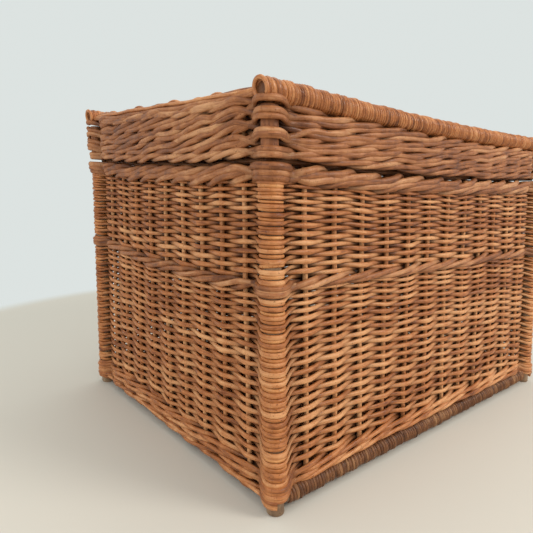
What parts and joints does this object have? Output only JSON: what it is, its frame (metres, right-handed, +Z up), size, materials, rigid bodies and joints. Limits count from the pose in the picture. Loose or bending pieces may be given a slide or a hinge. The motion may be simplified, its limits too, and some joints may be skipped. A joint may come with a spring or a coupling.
{
  "type": "wicker storage trunk",
  "caption": "Rectangular woven willow storage trunk with corner posts, a waling band round the walls and a deep lid hinged at the rear.",
  "frame": {"origin": "on the floor under the middle of the whole trunk", "axes": "+X along the length, -Y the front, +Y the hinged rear, +Z up"},
  "size_m": [0.644, 0.4752, 0.455],
  "materials": {
    "willow_post": "buff willow, satin",
    "willow_stick": "buff willow, satin",
    "willow_stake": "buff willow, satin",
    "willow_waling": "buff willow, satin",
    "willow_wrap": "buff willow, satin",
    "willow_weave": "buff willow, satin"
  },
  "bodies": {
    "box": {"base_binding_front": "willow_wrap", "base_binding_rear": "willow_wrap", "base_inner_sticks": "willow_stick", "base_outer_stick_front": "willow_stick", "base_outer_stick_rear": "willow_stick", "base_weave": "willow_weave", "border_front": "willow_waling", "border_left": "willow_waling", "border_rear": "willow_waling", "border_right": "willow_waling", "corner_post_front_left": "willow_post", "corner_post_front_right": "willow_post", "corner_post_rear_left": "willow_post", "corner_post_rear_right": "willow_post", "corner_wraps": "willow_wrap", "foot_wale_front": "willow_waling", "foot_wale_left": "willow_waling", "foot_wale_rear": "willow_waling", "foot_wale_right": "willow_waling", "hinge_loop_left": "willow_waling", "hinge_loop_right": "willow_waling", "lower_siding_front": "willow_weave", "lower_siding_left": "willow_weave", "lower_siding_rear": "willow_weave", "lower_siding_right": "willow_weave", "mid_wale_front": "willow_waling", "mid_wale_left": "willow_waling", "mid_wale_rear": "willow_waling", "mid_wale_right": "willow_waling", "stakes_front": "willow_stake", "stakes_left": "willow_stake", "stakes_rear": "willow_stake", "stakes_right": "willow_stake", "upper_siding_front": "willow_weave", "upper_siding_left": "willow_weave", "upper_siding_rear": "willow_weave", "upper_siding_right": "willow_weave"},
    "lid": {"lid_binding_front": "willow_wrap", "lid_binding_rear": "willow_wrap", "lid_corner_post_front_left": "willow_post", "lid_corner_post_front_right": "willow_post", "lid_corner_post_rear_left": "willow_post", "lid_corner_post_rear_right": "willow_post", "lid_corner_wraps": "willow_wrap", "lid_edge_front": "willow_waling", "lid_edge_left": "willow_waling", "lid_edge_rear": "willow_waling", "lid_edge_right": "willow_waling", "lid_inner_sticks": "willow_stick", "lid_outer_stick_front": "willow_stick", "lid_outer_stick_rear": "willow_stick", "lid_siding_front": "willow_weave", "lid_siding_left": "willow_weave", "lid_siding_rear": "willow_weave", "lid_siding_right": "willow_weave", "lid_stakes": "willow_stake", "lid_weave": "willow_weave"}
  },
  "joints": [
    {"name": "lid_hinge", "type": "hinge", "parent": "box", "child": "lid", "pos_m": [0, 0.22065, 0.377], "axis": [-1, 0, 0], "range_deg": [0, 105]}
  ]
}
